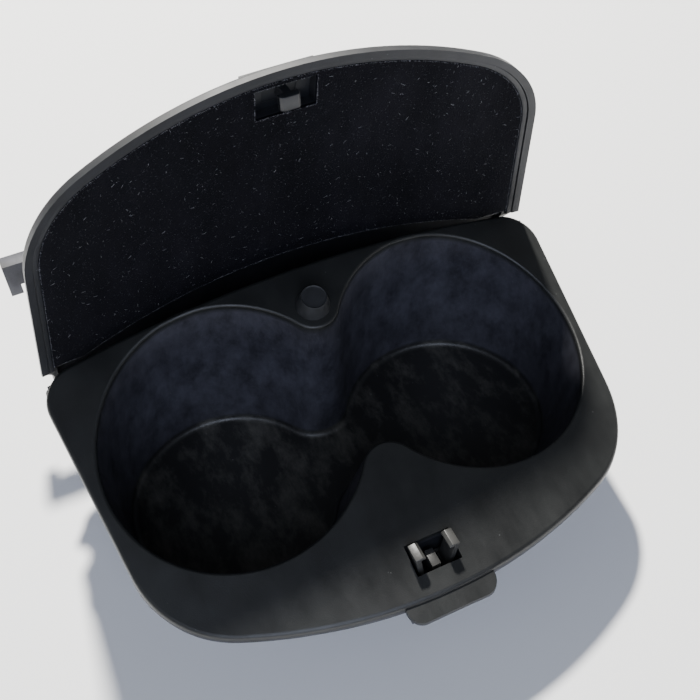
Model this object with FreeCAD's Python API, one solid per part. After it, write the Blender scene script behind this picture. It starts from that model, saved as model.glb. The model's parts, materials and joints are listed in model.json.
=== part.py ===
import FreeCAD, Part
import math
import os

# Twin drop-in cup holder for a car console: one housing with two joined cup
# wells under a crowned, sloping plate, a sprung lid on two stub hinges, a
# push-push latch, and a rear bracket that hooks into the console.
# Millimetres. Origin: middle of the flat underside of the wells, +X along the
# pair of wells, +Y to the hinge side, +Z up. The lid is modelled open.

V = FreeCAD.Vector
X_AXIS = V(1, 0, 0)
Y_AXIS = V(0, 1, 0)
Z_AXIS = V(0, 0, 1)
FAR = 400.0

# ---- cup wells -------------------------------------------------------------
well_r = 40.0
well_half_spacing = 39.3
well_neck_r = 8.4
well_depth = 51.5
well_wall = 2.0
floor_r = 34.3
floor_neck_r = 11.7
floor_shift = 8.5
floor_t = 2.2
floor_corner_r = 2.0
rim_round_r = 0.8

# ---- plate -----------------------------------------------------------------
plate_t = 2.4
plate_slope = 16.1
plate_crown_r = 338.0
plate_half_width = 85.6
plate_front = 65.0
plate_rear = 42.0
plate_front_r = 140.0
plate_corner_r = 36.0
plate_rear_corner_r = 10.0
plate_side_taper = 6.2
plate_edge_r = 1.5
skirt_t = 2.0
skirt_drop = 22.0
skirt_back = 23.0
tab_width = 28.0
tab_reach = 4.7
tab_step = 0.9
tab_t = 1.6
tab_corner_r = 4.5

# ---- lid -------------------------------------------------------------------
lid_inset = 1.2
lid_gap = 0.5
lid_inner = 2.2
lid_skin_t = 1.6
deep_inner = 6.0
deep_skin_t = 2.2
deep_wall = 1.6
deep_inset = 4.0
pocket_half_x = 9.0
pocket_front = 4.6
pocket_rear = 6.0
lid_wall = 2.2
lid_edge_r = 1.4
lid_back_gap = 1.2
lid_back_t = 2.4
lid_back_corner_r = 9.0
lid_back_clear = 0.8
relief_from_x = 58.0
relief_gap = 0.3
relief_back = 6.0
open_angle = 94.7
ring_t = 1.5
ring_gap = 0.1
ring_bottom = 0.9
ring_rear_gap = 2.0
liner_t = 1.2
liner_gap = 0.3
liner_rear_side = 29.0
liner_rear_mid = 15.0

# ---- hinge -----------------------------------------------------------------
hinge_in = 7.0
hinge_below = 10.4
hinge_x = 75.0
pin_r = 1.5
pin_fit = 0.05
pin_head_r = 2.6
pin_head_t = 1.2
pin_end = 0.6
knuckle_r = 4.5
inner_ear_x = 68.0
ear_t = 2.5
arm_t = 3.5
side_gap = 0.4
spring_wire = 1.0
spring_turns = 4
spring_pitch = 1.08
spring_coil_r = 2.9
spring_leg = 12.0
spring_end_angle = -25.0
coil_steps = 14
retainer_r = 3.0
retainer_t = 0.8

# ---- latch -----------------------------------------------------------------
latch_y = -53.8
slot_x = 14.2
slot_y = 9.0
latch_wall = 1.8
latch_height = 24.0
latch_floor_t = 1.6
slide_gap = 0.4
travel = 3.0
jaw_angle = 9.0
jaw_arm_t = 1.6
jaw_arm = 12.0
jaw_nose_t = 1.3
jaw_hub_r = 1.6
jaw_pin_r = 0.75
pin_recess = 0.1
slider_base_t = 3.4
cheek_t = 1.1
pusher_t = 2.7
latch_gap = 0.3
striker_head_x = 6.0
striker_head_z = 2.5
striker_neck_x = 2.4
striker_y = 4.2
striker_reach = 2.7
striker_foot_x = 10.0
striker_foot_y = 8.0
striker_foot_t = 1.0
striker_chamfer = 0.9
striker_sink = 0.2
flange_x = 5.0
flange_t = 2.0
small_screw_r = 0.95
small_screw_head_r = 1.9
small_screw_head_t = 1.2
small_screw_stand = 1.0
small_screw_slot_x = 2.4
small_screw_slot_y = 0.6
return_wire = 0.6
return_coil_r = 2.7
return_turns = 6
return_gap = 0.1
cam_wire_r = 0.4
cam_channel_x = 1.4
cam_channel_y = 1.1
cam_foot_rise = 1.5
cam_foot_skin = 0.4

# ---- bump stop -------------------------------------------------------------
bump_y = 27.5
bump_top_r = 4.0
bump_base_r = 5.6
bump_h = 5.4
bump_stem_r = 2.0
bump_barb_r = 2.8
bump_barb_h = 2.5
bump_tip_r = 1.4
bump_edge_r = 0.6
bump_fit = 0.05

# ---- rear bracket ----------------------------------------------------------
boss_x = 26.0
boss_low = 12.0
boss_high = 28.0
boss_face = 46.5
bracket_t = 3.0
bracket_rib_t = 2.5
deck_rise = 5.0
rib_drop = 1.0
rail_y = 82.5
rail_depth = 5.0
rail_height = 9.0
rail_top = 65.0
rail_half = 84.0
barb_x = 4.0
barb_drop = 4.0
rail_wall = 1.8
rail_bays = 8
screw_r = 1.5
screw_fit = 0.05
screw_depth = 8.0
screw_head_r = 2.8
screw_head_t = 2.0
screw_socket_r = 1.0
screw_short = 0.5
head_gap = 0.3
screw_spacing = 15.0

# ---- places that follow from the sizes -------------------------------------
slope_sin = math.sin(math.radians(plate_slope))
slope_cos = math.cos(math.radians(plate_slope))
plate_normal = V(0, -slope_sin, slope_cos)
plate_run = V(0, slope_cos, slope_sin)
rim_z = floor_t + well_depth


def plate_z(x, y):
    """Height of the plate's top surface above the point x, y."""
    drop = math.sqrt(plate_crown_r**2 - x**2) - plate_crown_r
    along = (y + slope_sin * drop) / slope_cos
    return rim_z + slope_cos * drop + slope_sin * along


hinge_y = plate_rear - hinge_in
hinge_z = plate_z(hinge_x, hinge_y) - hinge_below
hinge_point = V(0, hinge_y, hinge_z)
skirt_z = rim_z - skirt_drop
lid_rear = plate_rear + lid_back_gap + lid_back_t
lid_outer = lid_inner + lid_skin_t
latch_z = plate_z(0, latch_y)
pusher_z = latch_z - striker_reach - latch_gap
nose_z = latch_z - striker_reach + striker_head_z + latch_gap + travel
jaw_pin_z = nose_z - jaw_arm
jaw_pin_x = striker_head_x / 2 + latch_gap + jaw_arm_t / 2
arm_x = inner_ear_x + ear_t + side_gap

# radii about the hinge that the plate's rear corners need in the opening lid
corner_r = math.hypot(hinge_in, plate_z(hinge_x, plate_rear) - hinge_z) - relief_gap
side_r = math.hypot(hinge_in, hinge_below) + relief_gap / 2
deep_side_x = plate_half_width - lid_inset - deep_inset - deep_wall


def wells_rear(z):
    """How far back the wells' outer wall reaches at a height."""
    share = (z - floor_t) / well_depth
    return floor_shift * (1 - share) + floor_r + share * (well_r - floor_r) + well_wall


# the lid's rear wall starts this far over the hinge, so that the open lid
# passes behind the wells
back_drop = wells_rear(hinge_z - hinge_in - lid_back_gap) + lid_back_clear - hinge_y
back_drop -= (hinge_in + lid_back_gap) * math.cos(math.radians(open_angle))
back_drop /= math.sin(math.radians(open_angle))
coil_x = arm_x + arm_t + side_gap
coil_len = spring_pitch * (spring_turns + 0.25) + spring_wire
outer_ear_x = coil_x + coil_len + side_gap


def block(x0, x1, y0, y1, z0, z1):
    """A box between two corners."""
    return Part.makeBox(x1 - x0, y1 - y0, z1 - z0, V(x0, y0, z0))


def rod(r, start, end):
    """A round bar from one point to another."""
    way = end - start
    return Part.makeCylinder(r, way.Length, start, way)


def under_surface(offset):
    """Everything under the crowned, sloping surface, raised by offset."""
    centre = V(0, 0, rim_z) - plate_normal * plate_crown_r
    barrel = Part.makeCylinder(plate_crown_r + offset, 2 * FAR)
    seam = plate_normal * -1
    turn = FreeCAD.Rotation(seam, plate_run.cross(seam), plate_run, "ZXY")
    barrel.Placement = FreeCAD.Placement(centre - plate_run * FAR, turn)
    return barrel


def band(low, high):
    """The space between two offsets of the crowned surface."""
    return under_surface(high).cut(under_surface(low))


def arc(centre, r, a, b):
    """The shorter arc about centre between the directions of points a and b."""
    to_a = (a - centre).normalize()
    to_b = (b - centre).normalize()
    middle = centre + (to_a + to_b).normalize() * r
    return Part.Arc(centre + to_a * r, middle, centre + to_b * r).toShape()


def mirrored(p):
    return V(-p.x, p.y, p.z)


def d_wire(inset, rear, rear_r, z):
    """The plate's D-shaped outline, moved in by inset, with its rear at y = rear."""
    taper = math.radians(plate_side_taper)
    out = V(math.cos(taper), -math.sin(taper), 0)
    up = V(math.sin(taper), math.cos(taper), 0)
    side_point = V(plate_half_width, plate_rear - plate_rear_corner_r, 0)
    front_centre = V(0, plate_front_r - plate_front, 0)
    # corner arc: touches the side line and the front arc
    reach = out.dot(side_point) - plate_corner_r
    base = out * reach - front_centre
    half_b = base.dot(up)
    gap = base.dot(base) - (plate_front_r - plate_corner_r) ** 2
    corner = out * reach + up * (-half_b - math.sqrt(half_b**2 - gap))
    front_tangent = front_centre + (corner - front_centre).normalize() * plate_front_r
    rear_y = rear - rear_r
    rear_reach = out.dot(side_point) - inset - rear_r
    rear_x = (rear_reach + math.sin(taper) * rear_y) / math.cos(taper)
    rear_corner = V(rear_x, rear_y, 0)
    side_low = corner + out * (plate_corner_r - inset)
    side_high = rear_corner + out * rear_r
    rear_end = rear_corner + V(0, rear_r, 0)
    corner_in = mirrored(corner)
    front_r = plate_front_r - inset
    front_mid = front_centre + V(0, -front_r, 0)
    front_right = front_centre + (front_tangent - front_centre).normalize() * front_r
    front_arc = Part.Arc(mirrored(front_right), front_mid, front_right).toShape()
    edges = [
        front_arc,
        arc(corner, plate_corner_r - inset, front_tangent, side_low),
        Part.LineSegment(side_low, side_high).toShape(),
        arc(rear_corner, rear_r, side_high, rear_end),
        Part.LineSegment(rear_end, mirrored(rear_end)).toShape(),
        arc(mirrored(rear_corner), rear_r, mirrored(rear_end), mirrored(side_high)),
        Part.LineSegment(mirrored(side_high), mirrored(side_low)).toShape(),
        arc(corner_in, plate_corner_r - inset, mirrored(side_low), mirrored(front_tangent)),
    ]
    wire = Part.Wire(edges)
    wire.translate(V(0, 0, z))
    return wire


def prism(wire, height):
    return Part.Face(wire).extrude(V(0, 0, height))


def plate_prism(inset):
    return prism(d_wire(inset, plate_rear - inset, plate_rear_corner_r - inset, 0), FAR)


def lid_prism(inset):
    rear_r = lid_back_corner_r - inset
    return prism(d_wire(lid_inset + inset, lid_rear - inset, rear_r, 0), FAR)


def eight_wire(r, neck_r, shift):
    """Two joined circles with rounded necks, as one closed wire at z = 0."""
    a = well_half_spacing
    neck = math.sqrt((r + neck_r) ** 2 - a**2)
    right = V(a, shift, 0)
    left = V(-a, shift, 0)
    back = V(0, shift + neck, 0)
    front = V(0, shift - neck, 0)
    touch = {}
    for name, circle, centre in (
        ("rb", right, back),
        ("rf", right, front),
        ("lb", left, back),
        ("lf", left, front),
    ):
        touch[name] = circle + (centre - circle).normalize() * r
    edges = [
        Part.Arc(touch["rf"], V(a + r, shift, 0), touch["rb"]).toShape(),
        Part.Arc(touch["rb"], V(0, back.y - neck_r, 0), touch["lb"]).toShape(),
        Part.Arc(touch["lb"], V(-a - r, shift, 0), touch["lf"]).toShape(),
        Part.Arc(touch["lf"], V(0, front.y + neck_r, 0), touch["rf"]).toShape(),
    ]
    return Part.Wire(edges)


def well_section(share, wall, tilt):
    """A section of the wells: share 0 at the floor, 1 at the rim."""
    r = floor_r + share * (well_r - floor_r) + wall
    neck_r = floor_neck_r + share * (well_neck_r - floor_neck_r) - wall
    wire = eight_wire(r, neck_r, floor_shift * (1 - share))
    lean = FreeCAD.Matrix()
    lean.A32 = tilt * math.tan(math.radians(plate_slope))
    return wire.transformGeometry(lean)


def wells_solid(wall, bottom):
    """The wells' leaning, tapering shape from bottom to just over the plate."""
    over = 4.0
    low = well_section(0.0, wall, 0.0)
    low.translate(V(0, 0, bottom))
    high = well_section(1 + over / well_depth, wall, 1.0)
    high.translate(V(0, 0, rim_z + over))
    return Part.makeLoft([low, high], True, True)


def edges_where(shape, test):
    return [e for e in shape.Edges if test(e)]


def lies_on_surface(edge, offset):
    """True where the whole edge lies on the crowned surface at offset."""
    for share in (0.1, 0.5, 0.9):
        first, last = edge.FirstParameter, edge.LastParameter
        p = edge.valueAt(first + share * (last - first))
        centre = V(0, 0, rim_z) - plate_normal * plate_crown_r
        away = (p - centre) - plate_run * (p - centre).dot(plate_run)
        if abs(away.Length - plate_crown_r - offset) > 0.02:
            return False
    return True


def touches(edge, solid):
    """True where the middle of the edge lies on the solid's skin."""
    middle = edge.valueAt((edge.FirstParameter + edge.LastParameter) / 2)
    return Part.Vertex(middle).distToShape(solid)[0] < 0.02


def coil(wire, coil_r, pitch, first, last, legs):
    """A wire wound about Z from angle first to angle last, in degrees, with straight legs."""
    count = round((last - first) / 360 * coil_steps)
    points = []
    for n in range(count + 1):
        turned = math.radians(first + (last - first) * n / count)
        rise = pitch * n / count * (last - first) / 360
        points.append(V(coil_r * math.cos(turned), coil_r * math.sin(turned), rise))
    leg_in, leg_out = legs
    if leg_in:
        turned = math.radians(first)
        points.insert(0, points[0] - V(-math.sin(turned), math.cos(turned), 0) * leg_in)
    if leg_out:
        turned = math.radians(last)
        points.append(points[-1] + V(-math.sin(turned), math.cos(turned), 0) * leg_out)
    circle = Part.Circle(points[0], points[1] - points[0], wire / 2).toShape()
    return Part.makePolygon(points).makePipeShell([Part.Wire(circle)], True, False, 1)


# ---- housing ---------------------------------------------------------------


def plate_slab():
    slab = plate_prism(0).common(under_surface(0))
    slab = slab.makeFillet(plate_edge_r, edges_where(slab, lambda e: lies_on_surface(e, 0)))
    return slab.cut(under_surface(-plate_t))


def front_skirt():
    ring = plate_prism(0).cut(plate_prism(skirt_t)).common(under_surface(-plate_t / 2))
    return ring.common(block(-FAR, FAR, -FAR, -skirt_back, skirt_z, FAR))


def front_tab():
    """A flat tongue with rounded corners, one step below the plate's front edge."""
    half = tab_width / 2
    tip = -plate_front - tab_reach
    tongue = block(-half, half, tip, skirt_t - plate_front, 0, FAR)
    corners = edges_where(
        tongue, lambda e: e.BoundBox.ZLength > tab_reach and e.BoundBox.YMax < tip + tab_step
    )
    tongue = tongue.makeFillet(tab_corner_r, corners)
    return tongue.common(band(-tab_step - tab_t, -tab_step))


def hinge_ear(x):
    y0, y1 = hinge_y - knuckle_r, hinge_y + knuckle_r
    ear = rod(knuckle_r, V(x, hinge_y, hinge_z), V(x + ear_t, hinge_y, hinge_z))
    ear = ear.fuse(block(x, x + ear_t, y0, y1, hinge_z, hinge_z + 2 * hinge_below))
    return ear.common(under_surface(-plate_t / 2))


def both_sides(shape):
    return [shape, shape.mirror(V(0, 0, 0), X_AXIS)]


def bracket_boss():
    return block(-boss_x / 2, boss_x / 2, floor_shift, boss_face, boss_low, boss_high)


def screw_axes():
    z = (boss_low + boss_high) / 2
    return [(side * screw_spacing / 2, z) for side in (-1, 1)]


def small_screw_places():
    x = slot_x / 2 + latch_wall + flange_x / 2
    return [(side * x, latch_y) for side in (-1, 1)]


def housing():
    body = plate_slab()
    outside = wells_solid(well_wall, 0).common(under_surface(-plate_t / 2))
    parts = [outside, front_skirt(), front_tab(), bracket_boss()]
    for x in (inner_ear_x, outer_ear_x):
        parts += both_sides(hinge_ear(x))
    body = body.fuse(parts).removeSplitter()
    inside = wells_solid(0, floor_t)
    floor_edges = edges_where(inside, lambda e: e.BoundBox.ZMax < floor_t + 0.01)
    inside = inside.makeFillet(floor_corner_r, floor_edges)
    body = body.cut(inside)
    rim = edges_where(body, lambda e: lies_on_surface(e, 0) and touches(e, inside))
    body = body.makeFillet(rim_round_r, rim)
    half_x, half_y = slot_x / 2, slot_y / 2
    slot = block(-half_x, half_x, latch_y - half_y, latch_y + half_y, skirt_z, FAR)
    holes = [slot]
    bump_z = plate_z(0, bump_y)
    stem = bump_stem_r + bump_fit
    foot = V(0, bump_y, bump_z)
    holes.append(rod(stem, foot - plate_normal * 3 * plate_t, foot + plate_normal * plate_t))
    pin_hole = rod(pin_r + pin_fit, V(-FAR, hinge_y, hinge_z), V(FAR, hinge_y, hinge_z))
    for side in both_sides(block(inner_ear_x - ear_t, FAR, -FAR, FAR, 0, FAR)):
        holes.append(pin_hole.common(side))
    for x, z in screw_axes():
        start = V(x, boss_face + 1, z)
        holes.append(rod(screw_r + screw_fit, start, V(x, boss_face - screw_depth, z)))
    for x, y in small_screw_places():
        z = plate_z(x, y) - plate_t
        start = V(x, y, z - flange_t)
        holes.append(rod(small_screw_r + pin_fit, start, V(x, y, z + plate_t / 2)))
    return body.cut(Part.Compound(holes))


# ---- hinge -----------------------------------------------------------------


def hinge_pin():
    """A headed pin, head inside, retained outside the outer ear."""
    head_x = inner_ear_x
    end_x = outer_ear_x + ear_t + retainer_t + pin_end
    pin = rod(pin_r, V(head_x, hinge_y, hinge_z), V(end_x, hinge_y, hinge_z))
    head = rod(pin_head_r, V(head_x - pin_head_t, hinge_y, hinge_z), V(head_x, hinge_y, hinge_z))
    return pin.fuse(head).removeSplitter()


def pin_retainer():
    x = outer_ear_x + ear_t
    ring = rod(retainer_r, V(x, hinge_y, hinge_z), V(x + retainer_t, hinge_y, hinge_z))
    return ring.cut(rod(pin_r, V(x, hinge_y, hinge_z), V(x + retainer_t, hinge_y, hinge_z)))


def hinge_spring():
    """A torsion spring round the pin: one leg up to the plate, one on the lid's rear wall."""
    last = 360 * spring_turns + spring_end_angle
    leg_in = hinge_below - plate_t - spring_wire
    legs = (leg_in, spring_leg)
    spring = coil(spring_wire, spring_coil_r, spring_pitch, -90.0, last, legs)
    start = V(coil_x + spring_wire / 2, hinge_y, hinge_z)
    spring.Placement = FreeCAD.Placement(start, FreeCAD.Rotation(Z_AXIS, X_AXIS))
    return spring


# ---- lid -------------------------------------------------------------------


def opened(shape):
    """Turns a closed lid piece about the hinge into the open position."""
    turned = shape.copy()
    turned.rotate(hinge_point, X_AXIS, -open_angle)
    return turned


def lid_back():
    """The rear wall that hangs behind the plate and ends above the wells' walls."""
    low = hinge_z + back_drop
    wall = lid_prism(0).cut(lid_prism(lid_back_t)).common(under_surface(lid_inner + 1))
    return wall.common(block(-FAR, FAR, lid_rear - lid_back_t, FAR, low, FAR))


def lid_arm():
    """An arm from the rear wall down and forward to the hinge pin."""
    x0, x1 = arm_x, arm_x + arm_t
    knuckle = rod(knuckle_r, V(x0, hinge_y, hinge_z), V(x1, hinge_y, hinge_z))
    foot = block(x0, x1, hinge_y, lid_rear, hinge_z - knuckle_r, hinge_z + knuckle_r)
    post = block(x0, x1, lid_rear - lid_back_t, lid_rear, hinge_z, FAR)
    post = post.common(under_surface(lid_inner + 1))
    hole = rod(pin_r + pin_fit, V(x0 - 1, hinge_y, hinge_z), V(x1 + 1, hinge_y, hinge_z))
    return knuckle.fuse([foot, post]).cut(hole)


def relief(x0, x1, r):
    """Room round the hinge for the plate's rear corners, on both sides."""
    swing = rod(r, V(x0, hinge_y, hinge_z), V(x1, hinge_y, hinge_z))
    return both_sides(swing.cut(block(x0 - 1, x1 + 1, hinge_y + relief_back, FAR, 0, FAR)))


def deep_regions(grow, low, high):
    """Where the lid is deeper: over the bump stop, and over the open jaws."""
    rear = lid_prism(deep_inset + deep_wall - grow).common(behind_liner(grow))
    hx = pocket_half_x + grow
    y0, y1 = latch_y - pocket_front - grow, latch_y + pocket_rear + grow
    pocket = block(-hx, hx, y0, y1, 0, FAR)
    return [region.common(band(low, high)) for region in (rear, pocket)]


def lid_cover():
    solid = lid_prism(0).common(under_surface(lid_outer))
    top = edges_where(solid, lambda e: lies_on_surface(e, lid_outer))
    solid = solid.makeFillet(lid_edge_r, top)
    skin = solid.cut(under_surface(lid_inner))
    rim = solid.common(band(lid_gap, lid_inner + 0.5)).cut(lid_prism(lid_wall))
    shell = skin.fuse([rim] + deep_regions(deep_wall, lid_inner, deep_inner + deep_skin_t))
    cuts = deep_regions(0, lid_inner - 1, deep_inner)
    cuts += relief(relief_from_x, deep_side_x, corner_r) + relief(deep_side_x, FAR, side_r)
    shell = shell.cut(Part.Compound(cuts))
    cover = shell.fuse([lid_back()] + both_sides(lid_arm())).removeSplitter()
    return cover.cut(striker_foot())


def ring_prism(inset):
    """The lid outline moved in, but kept clear of the rear wall."""
    rear_r = lid_back_corner_r - inset
    rear = plate_rear - inset
    return prism(d_wire(lid_inset + inset, rear, rear_r, 0), FAR)


def lid_inner_ring():
    out = lid_wall + ring_gap
    ring = ring_prism(out).cut(ring_prism(out + ring_t))
    ring = ring.common(band(ring_bottom, lid_inner))
    rear_stop = hinge_y - ring_rear_gap
    ring = ring.common(block(-FAR, FAR, -FAR, rear_stop, 0, FAR))
    return ring.cut(Part.Compound(relief(relief_from_x, FAR, side_r)))


def behind_liner(grow):
    """Everything behind the liner's rear arc, which sags towards the middle."""
    half = plate_half_width - lid_inset
    rise = liner_rear_side - liner_rear_mid
    r = (half**2 + rise**2) / (2 * rise)
    return Part.makeCylinder(r + grow, FAR, V(0, liner_rear_mid + r, 0))


def lid_liner():
    outline = ring_prism(lid_wall + ring_gap + ring_t + liner_gap).cut(behind_liner(0))
    liner = outline.common(band(lid_inner - liner_t, lid_inner))
    y0, y1 = latch_y - pocket_front, latch_y + pocket_rear
    hole = block(-pocket_half_x, pocket_half_x, y0, y1, 0, FAR)
    return liner.cut(Part.Compound([hole] + relief(relief_from_x, FAR, corner_r + relief_gap)))


def striker_foot():
    hx, hy = striker_foot_x / 2, striker_foot_y / 2
    foot = block(-hx, hx, latch_y - hy, latch_y + hy, 0, FAR)
    return foot.common(band(deep_inner, deep_inner + striker_foot_t))


def lid_striker():
    hy = striker_y / 2
    low = latch_z - striker_reach
    neck = block(-striker_neck_x / 2, striker_neck_x / 2, latch_y - hy, latch_y + hy, low, FAR)
    neck = neck.common(under_surface(deep_inner + striker_sink))
    hx = striker_head_x / 2
    head = block(-hx, hx, latch_y - hy, latch_y + hy, low, low + striker_head_z)
    ends = edges_where(head, lambda e: e.BoundBox.YLength > hy and e.BoundBox.ZMax < low + 0.1)
    head = head.makeChamfer(striker_chamfer, ends)
    return striker_foot().fuse([neck, head]).removeSplitter()


# ---- latch -----------------------------------------------------------------


def latch_cavity():
    hx, hy = slot_x / 2, slot_y / 2
    low = latch_z - plate_t - latch_height + latch_floor_t
    return block(-hx, hx, latch_y - hy, latch_y + hy, low, FAR)


def latch_body():
    hx, hy = slot_x / 2 + latch_wall, slot_y / 2 + latch_wall
    low = latch_z - plate_t - latch_height
    case = block(-hx, hx, latch_y - hy, latch_y + hy, low, FAR)
    wide = hx + flange_x
    flange = block(-wide, wide, latch_y - slot_y / 4, latch_y + slot_y / 4, low, FAR)
    flange = flange.common(band(-plate_t - flange_t, -plate_t))
    case = case.common(under_surface(-plate_t)).fuse(flange)
    case = case.cut(latch_cavity())
    holes = []
    for x, y in small_screw_places():
        holes.append(rod(small_screw_r + pin_fit, V(x, y, low), V(x, y, latch_z)))
    holes.append(cam_pin(pin_fit))
    return case.cut(Part.Compound(holes))


def small_screw(x, y):
    """A slotted screw driven up through the flange into the plate."""
    top = plate_z(x, y) - plate_t * 2 / 3
    seat = plate_z(x, y) - plate_t - flange_t - small_screw_stand
    low = seat - small_screw_head_t
    shank = rod(small_screw_r, V(x, y, seat), V(x, y, top))
    head = rod(small_screw_head_r, V(x, y, low), V(x, y, seat))
    long, wide = small_screw_slot_x / 2, small_screw_slot_y / 2
    slot = block(x - long, x + long, y - wide, y + wide, low - 1, low + small_screw_head_t / 2)
    return shank.fuse(head).cut(slot)


def latch_screws():
    return Part.Compound([small_screw(x, y) for x, y in small_screw_places()])


def jaw_pin_rod(x, r, reach):
    """A round bar along Y on a jaw's pivot, reaching equally both ways."""
    return rod(r, V(x, latch_y - reach, jaw_pin_z), V(x, latch_y + reach, jaw_pin_z))


def slider_box(x, y, z0, z1):
    """A block centred on the latch, half-widths x and y."""
    return block(-x, x, latch_y - y, latch_y + y, z0, z1)


def latch_slider():
    hx = slot_x / 2 - slide_gap
    hy = slot_y / 2 - slide_gap
    hub_low = jaw_pin_z - jaw_hub_r - latch_gap
    low = hub_low - slider_base_t
    cheek_top = jaw_pin_z + jaw_hub_r
    base = slider_box(hx, hy, low, hub_low)
    pusher = slider_box(pusher_t / 2, hy - cheek_t - latch_gap, hub_low, pusher_z)
    cheeks = slider_box(hx, hy, hub_low, cheek_top)
    cheeks = cheeks.cut(slider_box(hx + 1, hy - cheek_t, hub_low, cheek_top))
    slider = base.fuse([pusher, cheeks]).removeSplitter()
    bores = [jaw_pin_rod(side * jaw_pin_x, jaw_pin_r + pin_fit, slot_y) for side in (-1, 1)]
    half = cam_channel_x / 2
    front = latch_y - hy
    bores.append(block(-half, half, front - 1, front + cam_channel_y, low - 1, cheek_top + 1))
    return slider.cut(Part.Compound(bores))


def jaw_pivot_pins():
    reach = slot_y / 2 - slide_gap - pin_recess
    return Part.Compound([jaw_pin_rod(side * jaw_pin_x, jaw_pin_r, reach) for side in (-1, 1)])


def latch_jaw(side):
    """A hooked jaw, gripping shape first, then splayed to its open angle."""
    hy = slot_y / 2 - slide_gap - cheek_t - latch_gap
    x0 = striker_head_x / 2 + latch_gap
    x1 = x0 + jaw_arm_t
    tip = nose_z + jaw_nose_t
    nose_in = striker_neck_x / 2 + 2 * latch_gap
    hub = jaw_pin_rod(jaw_pin_x, jaw_hub_r, hy)
    arm = block(x0, x1, latch_y - hy, latch_y + hy, jaw_pin_z, tip)
    nose = block(nose_in, x1, latch_y - hy, latch_y + hy, nose_z, tip)
    lead = edges_where(
        nose, lambda e: e.BoundBox.XMax < nose_in + 0.01 and e.BoundBox.ZMin > tip - 0.01
    )
    nose = nose.makeChamfer(jaw_nose_t * 0.6, lead)
    jaw = hub.fuse([arm, nose]).removeSplitter()
    jaw = jaw.cut(jaw_pin_rod(jaw_pin_x, jaw_pin_r + pin_fit, slot_y))
    jaw.rotate(V(jaw_pin_x, latch_y, jaw_pin_z), Y_AXIS, jaw_angle)
    if side < 0:
        jaw = jaw.mirror(V(0, 0, 0), X_AXIS)
    return jaw


def latch_spring():
    """The return spring under the slider."""
    low = latch_z - plate_t - latch_height + latch_floor_t + return_wire / 2
    high = jaw_pin_z - jaw_hub_r - latch_gap - slider_base_t - return_wire / 2
    pitch = (high - low - 2 * return_gap) / return_turns
    spring = coil(return_wire, return_coil_r, pitch, 0.0, 360.0 * return_turns, (0, 0))
    spring.translate(V(0, latch_y, low + return_gap))
    return spring


def cam_pin(extra):
    """The bent wire that follows the slider's track and is hooked in the case."""
    r = cam_wire_r + extra
    y = latch_y - slot_y / 2 + slide_gap + cam_channel_y / 2 - pin_fit
    low = latch_z - plate_t - latch_height + latch_floor_t + cam_foot_rise
    high = jaw_pin_z - jaw_hub_r
    bend = V(0, y, low)
    upright = rod(r, bend - V(0, 0, r), V(0, y, high))
    foot = rod(r, bend, V(0, latch_y - slot_y / 2 - latch_wall + cam_foot_skin, low))
    return upright.fuse(foot).removeSplitter()


# ---- bump stop and bracket -------------------------------------------------


def bump_stop():
    foot = V(0, bump_y, plate_z(0, bump_y))
    cone = Part.makeCone(bump_base_r, bump_top_r, bump_h, foot, plate_normal)
    circles = edges_where(cone, lambda e: e.Curve.TypeId == "Part::GeomCircle")
    top = [e for e in circles if e.Curve.Radius < (bump_top_r + bump_base_r) / 2]
    cone = cone.makeFillet(bump_edge_r, top)
    under = foot - plate_normal * (plate_t + bump_fit)
    stem = rod(bump_stem_r, under - plate_normal * bump_barb_h, foot)
    barb = Part.makeCone(bump_barb_r, bump_tip_r, bump_barb_h, under, plate_normal * -1)
    return cone.fuse([stem, barb]).removeSplitter()


def rear_bracket():
    hx = boss_x / 2
    back = rail_y + rail_depth
    floor_z = boss_low + deck_rise
    flange = block(-hx, hx, boss_face, boss_face + bracket_t, boss_low, boss_high)
    deck = block(-hx, hx, boss_face, back, floor_z, floor_z + bracket_t)
    post = block(-hx, hx, back - bracket_t, back, floor_z, rail_top)
    rail = block(-rail_half, rail_half, rail_y, back, rail_top - rail_height, rail_top)
    pieces = [deck, post]
    for side in (-1, 1):
        edge = side * hx
        inner = edge - side * bracket_rib_t
        x0, x1 = min(edge, inner), max(edge, inner)
        pieces.append(block(x0, x1, boss_face, back, floor_z, boss_high - rib_drop))
        pieces.append(block(x0, x1, rail_y, back, floor_z, rail_top))
        tip = side * rail_half
        b0, b1 = min(tip, tip - side * barb_x), max(tip, tip - side * barb_x)
        barb = block(b0, b1, rail_y, back, rail_top - rail_height - barb_drop, rail_top)
        pieces.append(barb)
    bay = (rail_half - hx - barb_x - rail_wall) / (rail_bays / 2)
    pockets = []
    for n in range(rail_bays // 2):
        x0 = hx + rail_wall + n * bay
        pocket = block(
            x0, x0 + bay - rail_wall, rail_y + rail_wall, FAR,
            rail_top - rail_height + rail_wall, rail_top - rail_wall,
        )
        pockets += both_sides(pocket)
    bracket = flange.fuse([rail.cut(Part.Compound(pockets))] + pieces).removeSplitter()
    holes = []
    for x, z in screw_axes():
        seat = V(x, boss_face + bracket_t, z)
        holes.append(rod(screw_r + screw_fit, V(x, boss_face - 1, z), seat))
        holes.append(rod(screw_head_r + head_gap, seat, seat + Y_AXIS * 2 * bracket_t))
    return bracket.cut(Part.Compound(holes))


def bracket_screw(x, z):
    seat = boss_face + bracket_t
    shank = rod(screw_r, V(x, boss_face - screw_depth + screw_short, z), V(x, seat, z))
    head = rod(screw_head_r, V(x, seat, z), V(x, seat + screw_head_t, z))
    socket_foot = V(x, seat + screw_head_t / 2, z)
    recess = rod(screw_socket_r, socket_foot, socket_foot + Y_AXIS * screw_head_t)
    return shank.fuse(head).cut(recess)


def bracket_screws():
    return Part.Compound([bracket_screw(x, z) for x, z in screw_axes()])


# ---- all nodes -------------------------------------------------------------

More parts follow.
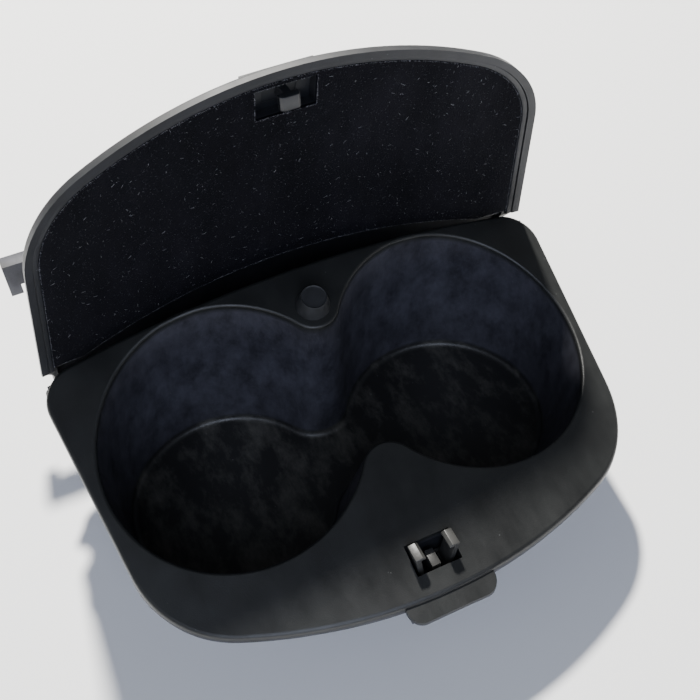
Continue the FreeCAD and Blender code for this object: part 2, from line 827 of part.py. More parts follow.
pin_right, pin_left = both_sides(hinge_pin())
spring_right, spring_left = both_sides(hinge_spring())

nodes = {
    "housing": housing(),
    "rear_bracket": rear_bracket(),
    "bracket_screws": bracket_screws(),
    "bump_stop": bump_stop(),
    "hinge_pin_right": pin_right,
    "hinge_pin_left": pin_left,
    "pin_retainers": Part.Compound(both_sides(pin_retainer())),
    "hinge_spring_right": spring_right,
    "hinge_spring_left": spring_left,
    "latch_body": latch_body(),
    "latch_screws": latch_screws(),
    "latch_spring": latch_spring(),
    "latch_cam_pin": cam_pin(0),
    "latch_slider": latch_slider(),
    "jaw_pivot_pins": jaw_pivot_pins(),
    "latch_jaw_right": latch_jaw(1),
    "latch_jaw_left": latch_jaw(-1),
    "lid_cover": opened(lid_cover()),
    "lid_inner_ring": opened(lid_inner_ring()),
    "lid_liner": opened(lid_liner()),
    "lid_striker": opened(lid_striker()),
}

os.makedirs("parts", exist_ok=True)
for name, shape in nodes.items():
    box = shape.BoundBox
    print(
        f"{name:20s} valid {shape.isValid()} solids {len(shape.Solids)} "
        f"x {box.XMin:.1f}..{box.XMax:.1f} y {box.YMin:.1f}..{box.YMax:.1f} "
        f"z {box.ZMin:.1f}..{box.ZMax:.1f} vol {shape.Volume:.0f}"
    )
    shape.exportStep(f"parts/{name}.step")
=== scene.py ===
# %% [markdown]
# # A twin console cup holder with a flocked lid
# The object is a moulded black insert: two joined wells under a crowned plate,
# a sprung lid that stands open, a small push latch and a rubber bump stop.
# The frame comes from CAD and is never moved. This lesson adds the finishes
# and the pieces whose look needs more than a plain solid: the flock, the lint
# on it, the springs and the rubber stop.

# %% Load the frame
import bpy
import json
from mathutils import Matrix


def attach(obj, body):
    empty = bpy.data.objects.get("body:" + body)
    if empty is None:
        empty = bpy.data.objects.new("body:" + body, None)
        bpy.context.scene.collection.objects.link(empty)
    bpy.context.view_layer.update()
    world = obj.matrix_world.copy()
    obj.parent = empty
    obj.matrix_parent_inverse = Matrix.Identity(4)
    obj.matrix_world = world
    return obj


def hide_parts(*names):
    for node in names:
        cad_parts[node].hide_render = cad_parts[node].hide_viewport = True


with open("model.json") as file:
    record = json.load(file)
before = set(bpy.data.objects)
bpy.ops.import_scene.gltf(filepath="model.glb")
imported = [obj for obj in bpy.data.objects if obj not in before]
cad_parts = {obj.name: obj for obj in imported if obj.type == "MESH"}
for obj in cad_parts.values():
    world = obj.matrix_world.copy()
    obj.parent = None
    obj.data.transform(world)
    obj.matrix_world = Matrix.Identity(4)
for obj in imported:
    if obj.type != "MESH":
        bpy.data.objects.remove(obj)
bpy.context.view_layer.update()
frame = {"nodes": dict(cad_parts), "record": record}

# %% Modules and units
import json
import math
import random

import bpy
from mathutils import Matrix, Vector

MM = 0.001
nodes = frame["nodes"]

# %% [markdown]
# ## Camera and light
# The camera looks down at about fifty degrees from the front left. Its place
# is worked out from three angles and an aim point, as a tripod would be set,
# with a small roll.

# %% Camera
camera_azimuth = math.radians(-24.1)
camera_elevation = math.radians(50.03)
camera_roll = math.radians(-1.478)
camera_distance = 0.3202
camera_aim = Vector((5.51, 12.3, 53.1)) * MM
camera_back = Vector((
    math.sin(camera_azimuth) * math.cos(camera_elevation),
    -math.cos(camera_azimuth) * math.cos(camera_elevation),
    math.sin(camera_elevation),
))
level_right = Vector((math.cos(camera_azimuth), math.sin(camera_azimuth), 0))
level_up = camera_back.cross(level_right)
camera_right = level_right * math.cos(camera_roll) + level_up * math.sin(camera_roll)
camera_up = level_up * math.cos(camera_roll) - level_right * math.sin(camera_roll)
camera_data = bpy.data.cameras.new("camera")
camera_data.sensor_width = 36
camera_data.lens = 53.07
camera_data.clip_start = 0.01
camera = bpy.data.objects.new("camera", camera_data)
bpy.context.collection.objects.link(camera)
turn = Matrix((camera_right, camera_up, camera_back)).transposed().to_4x4()
camera.matrix_world = Matrix.Translation(camera_aim + camera_back * camera_distance) @ turn
bpy.context.scene.camera = camera
print("camera at", [round(v, 3) for v in camera.matrix_world.translation])

# %% [markdown]
# A key light from behind, a little to the right, throws the lid's curved
# shadow over the plate. Two broad cool panels, in front and at the left, and a
# soft sky fill keep the black plastic readable. Each lamp is an area lamp aimed
# at the plate.

# %% Lights
def aimed_lamp(name, azimuth, elevation, distance, size, power, colour):
    """An area lamp on a sphere about the plate, aimed at it. Azimuth 0 is behind, +Y."""
    a, e = math.radians(azimuth), math.radians(elevation)
    way = Vector((math.sin(a) * math.cos(e), math.cos(a) * math.cos(e), math.sin(e)))
    lamp = bpy.data.lights.new(name, "AREA")
    lamp.shape = "DISK"
    lamp.size = size
    lamp.energy = power
    lamp.color = colour
    holder = bpy.data.objects.new(name, lamp)
    bpy.context.collection.objects.link(holder)
    holder.location = way * distance + Vector((0, 0, 0.05))
    holder.rotation_mode = "QUATERNION"
    holder.rotation_quaternion = way.to_track_quat("Z", "Y")
    print(name, "at", [round(v, 2) for v in holder.location])


aimed_lamp("key_light", 9, 51, 1.6, 0.12, 90, (1.0, 0.98, 0.93))
aimed_lamp("front_panel", 200, 34, 1.2, 1.0, 11, (0.72, 0.80, 1.0))
aimed_lamp("left_panel", -100, 40, 1.2, 0.7, 0.8, (0.80, 0.85, 1.0))
sky = bpy.data.worlds.new("studio_sky")
sky.use_nodes = True
sky.node_tree.nodes["Background"].inputs["Color"].default_value = (0.92, 0.95, 1.0, 1)
sky.node_tree.nodes["Background"].inputs["Strength"].default_value = 0.12
bpy.context.scene.world = sky

# %% [markdown]
# ## Material helpers
# Every finish but the floor's is a Principled shader whose colour, roughness
# and bump come from noise on Object coordinates. All pieces sit at the origin, so the
# pattern keeps its size, in metres, from piece to piece.

# %% Node helpers
def new_material(name):
    """An empty material with its Principled shader and the Object coordinates."""
    material = bpy.data.materials.new(name)
    material.use_nodes = True
    tree = material.node_tree
    shader = tree.nodes["Principled BSDF"]
    place = tree.nodes.new("ShaderNodeTexCoord").outputs["Object"]
    return material, tree, shader, place


def noise(tree, place, size_mm, detail=3.0, rough=0.55, stretch=(1, 1, 1)):
    """Noise whose blobs are about size_mm across, longer where stretch is small."""
    mapping = tree.nodes.new("ShaderNodeMapping")
    mapping.inputs["Scale"].default_value = stretch
    tree.links.new(place, mapping.inputs["Vector"])
    node = tree.nodes.new("ShaderNodeTexNoise")
    node.inputs["Scale"].default_value = 1 / (size_mm * MM)
    node.inputs["Detail"].default_value = detail
    node.inputs["Roughness"].default_value = rough
    tree.links.new(mapping.outputs["Vector"], node.inputs["Vector"])
    return node.outputs["Fac"]


def ramp(tree, source, stops):
    """A colour ramp from (position, colour) pairs; a number makes a grey."""
    node = tree.nodes.new("ShaderNodeValToRGB")
    marks = node.color_ramp.elements
    while len(marks) < len(stops):
        marks.new(0.5)
    for mark, (position, colour) in zip(marks, stops):
        mark.position = position
        if not isinstance(colour, tuple):
            colour = (colour, colour, colour)
        mark.color = (*colour, 1)
    tree.links.new(source, node.inputs["Fac"])
    return node.outputs["Color"]


def mix(tree, factor, a, b):
    """Blends two colours, each a tuple or a socket, by a socket."""
    node = tree.nodes.new("ShaderNodeMix")
    node.data_type = "RGBA"
    tree.links.new(factor, node.inputs[0])
    for socket, value in ((node.inputs[6], a), (node.inputs[7], b)):
        if isinstance(value, tuple):
            socket.default_value = (*value, 1)
        else:
            tree.links.new(value, socket)
    return node.outputs[2]


def bump(tree, shader, height, depth_mm, below=None):
    """Bump from a height socket; below is the normal of a coarser bump."""
    node = tree.nodes.new("ShaderNodeBump")
    node.inputs["Distance"].default_value = depth_mm * MM
    tree.links.new(height, node.inputs["Height"])
    if below is not None:
        tree.links.new(below, node.inputs["Normal"])
    tree.links.new(node.outputs["Normal"], shader.inputs["Normal"])
    return node.outputs["Normal"]


# %% [markdown]
# ## Moulded black plastic
# The housing is polypropylene from a finely spark-eroded mould: black, satin,
# with a grain of about a third of a millimetre. Handling leaves broad smudges
# that change the gloss, and dust sits as pale specks. The well walls are given
# a lighter bluish tone with smudges, which is painted sheen standing for the sky's
# reflection, and the floors are smeared with dust. Only height tells these
# areas apart, so all that lies under the plate has the walls' tone with its
# painted sheen, the wells' outer sides and the rear bracket too.

# %% Plastic
plate_slope = math.radians(16.1)
rim_height = 53.7 * MM
plate_crown_r = 338.0 * MM
hinge_place = Vector((0, 35.0, 44.632)) * MM
open_turn = math.radians(94.7)


def dust_specks(tree, place, size_mm, share):
    """Small pale flecks: the middles of scattered cells, most of them left out."""
    cells = tree.nodes.new("ShaderNodeTexVoronoi")
    cells.inputs["Scale"].default_value = 1 / (size_mm * MM)
    tree.links.new(place, cells.inputs["Vector"])
    near = ramp(tree, cells.outputs["Distance"], [(0.0, 1.0), (0.16, 0.0)])
    patch = noise(tree, place, size_mm * 2.3, 2.0)
    chosen = ramp(tree, patch, [(1 - share, 0.0), (min(1.0, 1.06 - share), 1.0)])
    both = tree.nodes.new("ShaderNodeMath")
    both.operation = "MULTIPLY"
    tree.links.new(near, both.inputs[0])
    tree.links.new(chosen, both.inputs[1])
    return both.outputs[0]


def fade_over(tree, height, low_mm, high_mm):
    """Fades from 0 to 1 as a height in metres passes between two levels."""
    fade = tree.nodes.new("ShaderNodeMapRange")
    fade.inputs["From Min"].default_value = low_mm * MM
    fade.inputs["From Max"].default_value = high_mm * MM
    tree.links.new(height, fade.inputs["Value"])
    return fade.outputs["Result"]


def height_over_plate(tree, place):
    """Height over the plate's crowned surface, from its slope and its radius."""
    over = tree.nodes.new("ShaderNodeVectorMath")
    over.operation = "DOT_PRODUCT"
    over.inputs[1].default_value = (0, -math.sin(plate_slope), math.cos(plate_slope))
    tree.links.new(place, over.inputs[0])
    parts = tree.nodes.new("ShaderNodeSeparateXYZ")
    tree.links.new(place, parts.inputs[0])
    squared = tree.nodes.new("ShaderNodeMath")
    squared.operation = "MULTIPLY"
    for socket in squared.inputs[:2]:
        tree.links.new(parts.outputs["X"], socket)
    crowned = tree.nodes.new("ShaderNodeMath")
    crowned.operation = "MULTIPLY_ADD"
    tree.links.new(squared.outputs[0], crowned.inputs[0])
    crowned.inputs[1].default_value = 1 / (2 * plate_crown_r)
    tree.links.new(over.outputs["Value"], crowned.inputs[2])
    return crowned.outputs[0]


def well_dust_and_painted_sheen(tree, place, tone):
    """Under the plate: walls with smudges and a painted bluish sheen, and floors with dusty smears.
    """
    # Painted sheen: the wall tone runs from dark to a lighter blue that stands for the sky's
    # reflection, and the same noise gives smudges.
    smudge_and_sheen_noise = noise(tree, place, 8, 6.0, 0.72, (1, 1, 0.6))
    wall_smudges_and_painted_sheen = ramp(tree, smudge_and_sheen_noise, [(0.34, (0.022, 0.022, 0.028)), (0.72, (0.066, 0.067, 0.084))])
    smears = noise(tree, place, 9, 6.0, 0.7, (1, 0.5, 1))
    dusty = ramp(tree, smears, [(0.46, (0.014, 0.0140, 0.014)), (0.74, (0.085, 0.083, 0.074))])
    parts = tree.nodes.new("ShaderNodeSeparateXYZ")
    tree.links.new(place, parts.inputs[0])
    above_floor = fade_over(tree, parts.outputs["Z"], 3.6, 5.4)
    inside = mix(tree, above_floor, dusty, wall_smudges_and_painted_sheen)
    rim_over = rim_height / MM * math.cos(plate_slope)
    over = height_over_plate(tree, place)
    return mix(tree, fade_over(tree, over, rim_over - 3.0, rim_over - 1.2), inside, tone)


def moulded_plastic(name, dark, light, gloss, grain_mm, grain_depth_mm, dust=0.36, wells=False):
    material, tree, shader, place = new_material(name)
    smudge = noise(tree, place, 17, 4.0, 0.6)
    tone = ramp(tree, smudge, [(0.35, dark), (0.68, light)])
    # Under the plate: dust on the floors, and painted sheen on the walls.
    if wells:
        tone = well_dust_and_painted_sheen(tree, place, tone)
    specks = dust_specks(tree, place, 1.7, dust)
    tree.links.new(mix(tree, specks, tone, (0.16, 0.165, 0.16)), shader.inputs["Base Color"])
    patchy = noise(tree, place, 6, 5.0, 0.65, (1, 0.35, 1))
    rough = ramp(tree, patchy, [(0.3, gloss - 0.06), (0.7, gloss + 0.08)])
    tree.links.new(rough, shader.inputs["Roughness"])
    grain = noise(tree, place, grain_mm, 2.0, 0.5)
    bump(tree, shader, grain, grain_depth_mm)
    return material


housing_plastic = moulded_plastic(
    "housing_plastic", (0.010, 0.0105, 0.0105), (0.017, 0.018, 0.0175), 0.42, 0.32, 0.035,
    wells=True,
)
lid_plastic = moulded_plastic(
    "lid_plastic", (0.008, 0.009, 0.011), (0.014, 0.015, 0.019), 0.50, 0.32, 0.030
)
print("plastics made")

# %% [markdown]
# ## Latch plastics and metal
# The latch case is a slippery acetal and its jaws are a lighter grey, in broad patches. The
# pins and screws are zinc plated, the springs are drawn wire, so their noise
# is stretched along the drawing direction.

# %% Latch plastics and metal
latch_plastic = moulded_plastic(
    "latch_plastic", (0.011, 0.012, 0.014), (0.020, 0.021, 0.024), 0.34, 0.25, 0.012, 0.30
)
jaw_plastic = moulded_plastic(
    "jaw_plastic", (0.018, 0.019, 0.019), (0.048, 0.047, 0.044), 0.38, 0.8, 0.020, 0.40
)


def plated_metal(name, dark, light, gloss, stretch):
    material, tree, shader, place = new_material(name)
    cloud = noise(tree, place, 1.5, 4.0, 0.6, stretch)
    tree.links.new(ramp(tree, cloud, [(0.3, dark), (0.7, light)]), shader.inputs["Base Color"])
    shader.inputs["Metallic"].default_value = 1.0
    fine = noise(tree, place, 0.3, 3.0, 0.6, stretch)
    sheen = ramp(tree, fine, [(0.3, gloss), (0.7, gloss + 0.18)])
    tree.links.new(sheen, shader.inputs["Roughness"])
    bump(tree, shader, fine, 0.008)
    return material


zinc_steel = plated_metal("zinc_steel", (0.42, 0.43, 0.42), (0.58, 0.57, 0.52), 0.28, (1, 1, 1))
spring_steel = plated_metal(
    "spring_steel", (0.22, 0.22, 0.23), (0.36, 0.36, 0.37), 0.25, (0.3, 1, 1)
)
print("metals made")

# %% Rubber
def moulded_rubber(name):
    material, tree, shader, place = new_material(name)
    cloud = noise(tree, place, 2.5, 4.0, 0.6)
    tone = ramp(tree, cloud, [(0.3, (0.012, 0.013, 0.014)), (0.7, (0.024, 0.025, 0.027))])
    specks = dust_specks(tree, place, 0.9, 0.42)
    tree.links.new(mix(tree, specks, tone, (0.13, 0.13, 0.13)), shader.inputs["Base Color"])
    tree.links.new(ramp(tree, cloud, [(0.2, 0.48), (0.8, 0.68)]), shader.inputs["Roughness"])
    bump(tree, shader, noise(tree, place, 0.22, 3.0), 0.03)
    return material


black_rubber = moulded_rubber("black_rubber")

# %% [markdown]
# ## Finish the CAD pieces
# A CAD node keeps its mesh and gets its finish in its material slots, by the
# slot that the record names for it.

# %% Assign finishes
finishes = {
    "housing_plastic": housing_plastic,
    "lid_plastic": lid_plastic,
    "latch_plastic": latch_plastic,
    "jaw_plastic": jaw_plastic,
    "zinc_steel": zinc_steel,
    "spring_steel": spring_steel,
    "black_rubber": black_rubber,
}
slot_of = {s["node"]: s["material_slot"] for s in frame["record"]["subparts"]}
for name, node in nodes.items():
    finish = finishes.get(slot_of[name])
    if finish is None:
        continue
    for place in node.material_slots:
        place.material = finish
print({name: slot_of[name] for name in nodes})

# %% [markdown]
# ## Small parts with softened edges
# A moulded part never has a knife edge: the mould is rounded a little, and the
# light draws a thin line along that round. The latch pieces, the lid's ring,
# the striker and the bracket are copied from the frame, their loose triangles
# merged into clean faces, and a Bevel modifier rounds what is sharper than
# thirty degrees. A bevel on a copy was chosen over new modelling because the
# shapes must fit their neighbours exactly.

# %% Softened copies
def select_only(piece):
    bpy.ops.object.select_all(action="DESELECT")
    piece.select_set(True)
    bpy.context.view_layer.objects.active = piece


def merged_copy(node_name, piece_name):
    """A copy of a CAD node's mesh as a new object, with its doubles merged."""
    piece = bpy.data.objects.new(piece_name, nodes[node_name].data.copy())
    bpy.context.collection.objects.link(piece)
    select_only(piece)
    bpy.ops.object.mode_set(mode="EDIT")
    bpy.ops.mesh.select_all(action="SELECT")
    bpy.ops.mesh.remove_doubles(threshold=0.002 * MM)
    bpy.ops.mesh.normals_make_consistent(inside=False)
    bpy.ops.object.mode_set(mode="OBJECT")
    return piece


def finish_piece(piece, finish, body, replaced=None):
    """Gives a piece its only material, its body and the node it stands for."""
    piece.data.materials.clear()
    piece.data.materials.append(finish)
    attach(piece, body)
    if replaced:
        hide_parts(replaced)
    print(piece.name, "has", len(piece.data.polygons), "faces and rides on", body)


def softened(node_name, piece_name, body, round_mm):
    piece = merged_copy(node_name, piece_name)
    bpy.ops.object.mode_set(mode="EDIT")
    bpy.ops.mesh.select_all(action="SELECT")
    bpy.ops.mesh.dissolve_limited(angle_limit=math.radians(1.0))
    bpy.ops.object.mode_set(mode="OBJECT")
    bpy.ops.object.modifier_add(type="BEVEL")
    bevel = piece.modifiers[-1]
    bevel.width = round_mm * MM
    bevel.segments = 3
    bevel.limit_method = "ANGLE"
    bevel.angle_limit = math.radians(30)
    bevel.use_clamp_overlap = True
    bpy.ops.object.modifier_apply(modifier=bevel.name)
    bpy.ops.object.shade_smooth_by_angle(angle=math.radians(35))
    slot_name = slot_of[node_name]
    finish_piece(piece, finishes[slot_name], body, node_name)
    return piece


softened("latch_jaw_right", "jaw_right_moulding", "jaw_right", 0.16)
softened("latch_jaw_left", "jaw_left_moulding", "jaw_left", 0.16)
softened("latch_slider", "slider_moulding", "latch_slider", 0.14)
softened("lid_striker", "striker_moulding", "lid", 0.22)
softened("lid_inner_ring", "lid_ring_moulding", "lid", 0.35)
softened("rear_bracket", "bracket_moulding", "root", 0.35)

# %% [markdown]
# ## Rubber bump stop
# The stop is one rubber moulding pulled through a hole in the plate: a tapered
# button with a rolled edge and a shallow dish on top, a stem as long as the
# plate is thick, and a barb. It starts as a cone, and inset and extrude steps
# make the dish and the barb. Spinning a profile would do as well, but inset
# keeps the faces square.

# %% Bump stop
stop_y = 27.5 * MM
stop_base_r, stop_top_r, stop_height = 5.6 * MM, 4.0 * MM, 5.4 * MM
stem_r, stem_length = 2.0 * MM, 2.45 * MM
barb_r, barb_tip_r, barb_length = 2.8 * MM, 1.4 * MM, 2.5 * MM
dish_rim, dish_depth = 1.0 * MM, 0.3 * MM


def select_flat_end(piece, height):
    """Selects only the level faces whose middle is at a height."""
    bpy.ops.object.mode_set(mode="OBJECT")
    for face in piece.data.polygons:
        face.select = abs(face.center.z - height) < 0.01 * MM and abs(face.normal.z) > 0.99
    bpy.ops.object.mode_set(mode="EDIT")


def drawn_end(piece, height, shift, share):
    """Extrudes a level end face by shift and scales it by share."""
    select_flat_end(piece, height)
    bpy.ops.mesh.extrude_region_move(TRANSFORM_OT_translate={"value": (0, 0, shift)})
    bpy.ops.transform.resize(value=(share, share, 1), center_override=(0, 0, height + shift))


bpy.ops.object.select_all(action="DESELECT")
bpy.ops.mesh.primitive_cone_add(
    vertices=64, radius1=stop_base_r, radius2=stop_top_r, depth=stop_height,
    location=(0, 0, stop_height / 2),
)
stop = bpy.context.object
stop.name = "rubber_bump_stop"
bpy.ops.object.transform_apply(location=True, rotation=True, scale=True)
bpy.ops.object.mode_set(mode="EDIT")
bpy.ops.mesh.select_mode(type="FACE")
select_flat_end(stop, stop_height)
bpy.ops.mesh.inset(thickness=dish_rim, use_even_offset=True)
drawn_end(stop, stop_height, -dish_depth, 0.92)
select_flat_end(stop, 0)
bpy.ops.mesh.inset(thickness=stop_base_r - stem_r, use_even_offset=True)
bpy.ops.mesh.extrude_region_move(TRANSFORM_OT_translate={"value": (0, 0, -stem_length)})
drawn_end(stop, -stem_length, 0, barb_r / stem_r)
drawn_end(stop, -stem_length, -barb_length, barb_tip_r / barb_r)
bpy.ops.mesh.select_all(action="SELECT")
bpy.ops.mesh.remove_doubles(threshold=0.001 * MM)
bpy.ops.mesh.normals_make_consistent(inside=False)
bpy.ops.object.mode_set(mode="OBJECT")
bpy.ops.object.modifier_add(type="BEVEL")
stop.modifiers[-1].width = 0.45 * MM
stop.modifiers[-1].segments = 4
stop.modifiers[-1].limit_method = "ANGLE"
stop.modifiers[-1].angle_limit = math.radians(25)
bpy.ops.object.modifier_apply(modifier=stop.modifiers[-1].name)
bpy.ops.object.shade_smooth_by_angle(angle=math.radians(40))
stop.rotation_euler = (plate_slope, 0, 0)
stop.location = (0, stop_y, rim_height + stop_y * math.tan(plate_slope))
bpy.ops.object.transform_apply(location=True, rotation=True, scale=True)
finish_piece(stop, black_rubber, "root", "bump_stop")

# %% [markdown]
# ## Torsion springs
# Each spring is wound from one millimetre wire round its hinge pin, with one
# leg against the plate and one against the lid. A curve with a round bevel
# follows the helix, so the wire is smooth and its size is one number.

# %% Springs
pin_y, pin_z = hinge_place.y, hinge_place.z
spring_start = 75.3 * MM
spring_wire_r, spring_coil_r, spring_pitch = 0.5 * MM, 2.9 * MM, 1.08 * MM
spring_first, spring_last = -90.0, 1415.0
leg_to_plate, leg_to_lid = 7.0 * MM, 12.0 * MM
steps_per_turn = 28


def spring_points(side):
    points = []
    count = round((spring_last - spring_first) / 360 * steps_per_turn)
    for n in range(count + 1):
        turned = math.radians(spring_first + (spring_last - spring_first) * n / count)
        rise = spring_pitch * (spring_last - spring_first) / 360 * n / count
        points.append(Vector((
            spring_start + rise,
            pin_y + spring_coil_r * math.sin(turned),
            pin_z - spring_coil_r * math.cos(turned),
        )))
    for turned, end, length in (
        (math.radians(spring_first), 0, -leg_to_plate),
        (math.radians(spring_last), -1, leg_to_lid),
    ):
        tangent = Vector((0, math.cos(turned), math.sin(turned)))
        points.insert(0 if end == 0 else len(points), points[end] + tangent * length)
    return [Vector((side * p.x, p.y, p.z)) for p in points]


for side, side_name in ((1, "right"), (-1, "left")):
    wire = bpy.data.curves.new("spring_wire_" + side_name, "CURVE")
    wire.dimensions = "3D"
    wire.bevel_depth = spring_wire_r
    wire.bevel_resolution = 3
    wire.use_fill_caps = True
    route = wire.splines.new("POLY")
    places = spring_points(side)
    route.points.add(len(places) - 1)
    for point, where in zip(route.points, places):
        point.co = (*where, 1)
    spring = bpy.data.objects.new("torsion_spring_" + side_name, wire)
    bpy.context.collection.objects.link(spring)
    select_only(spring)
    bpy.ops.object.convert(target="MESH")
    spring = bpy.context.object
    bpy.ops.object.mode_set(mode="EDIT")
    bpy.ops.mesh.select_all(action="SELECT")
    bpy.ops.mesh.remove_doubles(threshold=0.001 * MM)
    bpy.ops.mesh.normals_make_consistent(inside=False)
    bpy.ops.object.mode_set(mode="OBJECT")
    bpy.ops.object.shade_smooth_by_angle(angle=math.radians(50))
    finish_piece(spring, spring_steel, "root", "hinge_spring_" + side_name)

# %% [markdown]
# ## Flock
# Flock is short fibre shot into wet glue by static charge. Up close it is
# near black with a blue cast, the nap brushed one way or the other in broad
# patches, and single fibres that stand up catch the light as pale specks. The
# board below it gets that colour from noise, with fine pale specks painted on
# as the glints of standing fibres, and real fibres stand on it as well.

# %% Flock material
def flocked_cloth(name):
    material, tree, shader, place = new_material(name)
    brushed = noise(tree, place, 16, 4.0, 0.6, (1, 1, 0.45))
    base = ramp(tree, brushed, [
        (0.32, (0.0018, 0.0018, 0.0027)), (0.55, (0.0030, 0.0030, 0.0046)),
        (0.78, (0.0062, 0.0060, 0.0090)),
    ])
    fine = noise(tree, place, 0.42, 3.0, 0.7)
    # Painted glints: fine pale specks in the colour stand for standing fibres catching the light.
    painted_fibre_glints = ramp(tree, fine, [(0.62, 0.0), (0.78, 0.35)])
    tree.links.new(mix(tree, painted_fibre_glints, base, (0.055, 0.055, 0.072)), shader.inputs["Base Color"])
    tree.links.new(ramp(tree, brushed, [(0.3, 0.95), (0.7, 0.8)]), shader.inputs["Roughness"])
    shader.inputs["Specular IOR Level"].default_value = 0.08
    shader.inputs["Sheen Weight"].default_value = 0.02
    shader.inputs["Sheen Roughness"].default_value = 0.5
    shader.inputs["Sheen Tint"].default_value = (0.6, 0.62, 0.8, 1)
    broad = bump(tree, shader, brushed, 0.6)
    bump(tree, shader, fine, 0.25, broad)
    return material


def fibre_material(name, dark, light):
    """Single fibres differ in tone from one to the next, by place."""
    material, tree, shader, place = new_material(name)
    one_by_one = noise(tree, place, 0.8, 2.0, 0.7)
    tone = ramp(tree, one_by_one, [(0.35, dark), (0.65, light)])
    tree.links.new(tone, shader.inputs["Base Color"])
    tree.links.new(ramp(tree, one_by_one, [(0.3, 0.75), (0.7, 0.5)]), shader.inputs["Roughness"])
    bump(tree, shader, noise(tree, place, 0.1, 2.0), 0.01)
    return material


flock = flocked_cloth("flock")
nap_fibre = fibre_material("nap_fibre", (0.012, 0.012, 0.018), (0.075, 0.075, 0.092))
lint_fibre = fibre_material("lint_fibre", (0.16, 0.16, 0.18), (0.42, 0.42, 0.45))

# %% [markdown]
# The liner itself is the frame's board as it stands, flat and closed. Only its
# surface differs: a broad shallow bump tilts the nap, and a fine one breaks it
# up, so no geometry is spent on what is under a tenth of a millimetre high.
# Its wide faces get the crowned surface's own normals, worked out from the
# plate's radius, because long thin triangles shade in streaks.

# %% Liner board
liner = merged_copy("lid_liner", "flocked_liner")
lid_turn = Matrix.Rotation(open_turn, 3, "X")
plate_up = Vector((0, -math.sin(plate_slope), math.cos(plate_slope)))
plate_run = Vector((0, math.cos(plate_slope), math.sin(plate_slope)))
crown_centre = Vector((0, 0, rim_height)) - plate_up * plate_crown_r
loop_normals = []
for face in liner.data.polygons:
    for corner in face.vertices:
        closed = lid_turn @ (liner.data.vertices[corner].co - hinge_place) + hinge_place
        outward = closed - crown_centre
        outward = (outward - plate_run * outward.dot(plate_run)).normalized()
        outward = lid_turn.transposed() @ outward
        along = face.normal.dot(outward)
        wide_face = abs(along) > 0.9
        loop_normals.append(outward * math.copysign(1, along) if wide_face else face.normal)
bpy.ops.object.shade_smooth()
liner.data.normals_split_custom_set(loop_normals)
finish_piece(liner, flock, "lid", "lid_liner")

# %% [markdown]
# Thousands of fibres can't be placed by hand, so code scatters them over the
# board's show side with a seeded random source. Each is a closed spike of four
# faces. Lint is fewer, longer and bent, as a thin three-sided tube.

# %% Scattering helpers
show_side = Vector((0, -0.98, -0.197))
show_faces = [
    tri for tri in (liner.data.calc_loop_triangles() or liner.data.loop_triangles)
    if tri.normal.dot(show_side) > 0.8
]
face_areas = [tri.area for tri in show_faces]
board_points = [v.co.copy() for v in liner.data.vertices]


def random_place(source):
    """A random point on the show side, and the normal there."""
    tri = source.choices(show_faces, weights=face_areas)[0]
    a, b, c = (board_points[i] for i in tri.vertices)
    u, v = source.random(), source.random()
    if u + v > 1:
        u, v = 1 - u, 1 - v
    return a + (b - a) * u + (c - a) * v, tri.normal.copy()


def strand(corners, faces, route, width):
    """Adds one closed three-sided strand along a route, pointed at its end."""
    first = len(corners)
    along = (route[-1] - route[0]).normalized()
    side = along.orthogonal().normalized()
    other = along.cross(side)
    for place in route[:-1]:
        for turned in (0, 2 * math.pi / 3, 4 * math.pi / 3):
            spread = side * math.cos(turned) + other * math.sin(turned)
            corners.append(place + spread * width / 2)
    corners.append(route[-1])
    tip = len(corners) - 1
    faces.append((first, first + 2, first + 1))
    for ring in range(len(route) - 2):
        for n in range(3):
            here, there = first + 3 * ring + n, first + 3 * ring + (n + 1) % 3
            faces.append((here, there, there + 3, here + 3))
    last = first + 3 * (len(route) - 2)
    for n in range(3):
        faces.append((last + n, last + (n + 1) % 3, tip))


def strands_piece(name, routes, width, finish):
    corners, faces = [], []
    for route in routes:
        strand(corners, faces, route, width)
    mesh = bpy.data.meshes.new(name)
    mesh.from_pydata(corners, [], faces)
    piece = bpy.data.objects.new(name, mesh)
    bpy.context.collection.objects.link(piece)
    finish_piece(piece, finish, "lid")
    return piece


def leaning(source, normal, lean):
    """A direction near the surface, raised by lean, at a random turn."""
    flat = normal.orthogonal().normalized()
    flat.rotate(Matrix.Rotation(source.uniform(0, 2 * math.pi), 3, normal))
    return (flat + normal * lean).normalized()


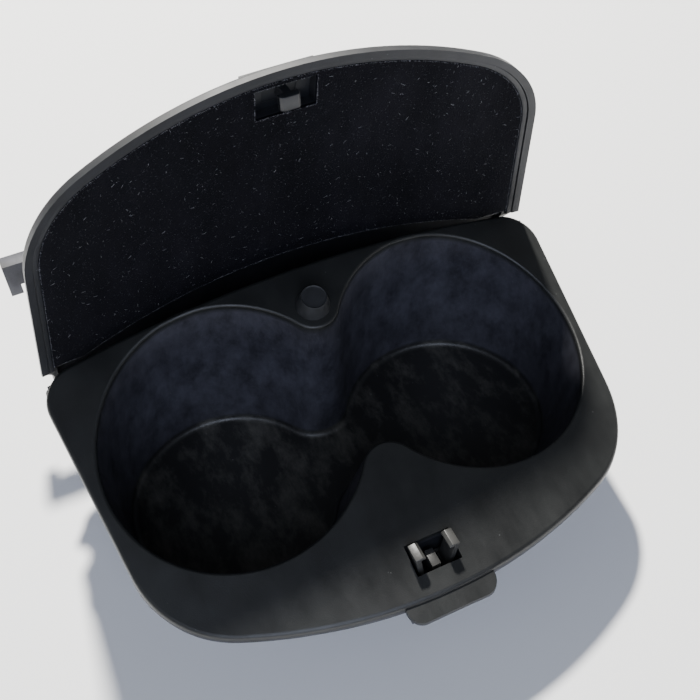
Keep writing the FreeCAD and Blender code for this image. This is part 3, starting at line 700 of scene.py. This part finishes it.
# %% Standing nap and lint
nap_source = random.Random(17)
nap_routes = []
for _ in range(5200):
    root, normal = random_place(nap_source)
    way = leaning(nap_source, normal, nap_source.uniform(0.15, 0.5))
    length = nap_source.uniform(0.3, 0.7) * MM
    nap_routes.append([root - normal * 0.05 * MM, root + way * length])
strands_piece("standing_nap", nap_routes, 0.11 * MM, nap_fibre)

lint_source = random.Random(23)
lint_routes = []
for _ in range(420):
    root, normal = random_place(lint_source)
    way = leaning(lint_source, normal, 0.03)
    bend = normal.cross(way) * lint_source.uniform(-0.5, 0.5)
    length = lint_source.uniform(0.25, 1.0) ** 2 * 1.5 * MM
    lift = normal * 0.12 * MM
    route = [root + lift]
    for share in (0.35, 0.7, 1.0):
        route.append(root + lift + (way * share + bend * share * share) * length)
    lint_routes.append(route)
strands_piece("lint", lint_routes, 0.07 * MM, lint_fibre)

# %% [markdown]
# Where the board was punched out, the cut ends of the fibres make a pale
# fringe. Its fibres are scattered along the show side's outline.

# %% Cut edge
edge_users = {}
for tri in show_faces:
    for a, b in zip(tri.vertices, (*tri.vertices[1:], tri.vertices[0])):
        edge_users.setdefault((min(a, b), max(a, b)), []).append(tri.normal.copy())
rim_edges = [(pair, users[0]) for pair, users in edge_users.items() if len(users) == 1]
rim_lengths = [(board_points[a] - board_points[b]).length for (a, b), _ in rim_edges]
edge_source = random.Random(31)
edge_routes = []
for _ in range(2600):
    (a, b), normal = edge_source.choices(rim_edges, weights=rim_lengths)[0]
    root = board_points[a].lerp(board_points[b], edge_source.random())
    way = leaning(edge_source, normal, edge_source.uniform(0.4, 1.2))
    edge_routes.append([root - normal * 0.1 * MM, root + way * edge_source.uniform(0.2, 0.42) * MM])
strands_piece("cut_edge", edge_routes, 0.10 * MM, lint_fibre)

# %% [markdown]
# ## Floor
# A plain pale floor under the wells.

# %% Floor
bpy.ops.object.select_all(action="DESELECT")
bpy.ops.mesh.primitive_plane_add(size=6, location=(0, 0, 0))
floor = bpy.context.object
floor.name = "floor"
floor_material, floor_tree, floor_shader, floor_place = new_material("pale_floor")
floor_shader.inputs["Base Color"].default_value = (0.86, 0.86, 0.86, 1)
floor_shader.inputs["Roughness"].default_value = 0.7
floor.data.materials.append(floor_material)
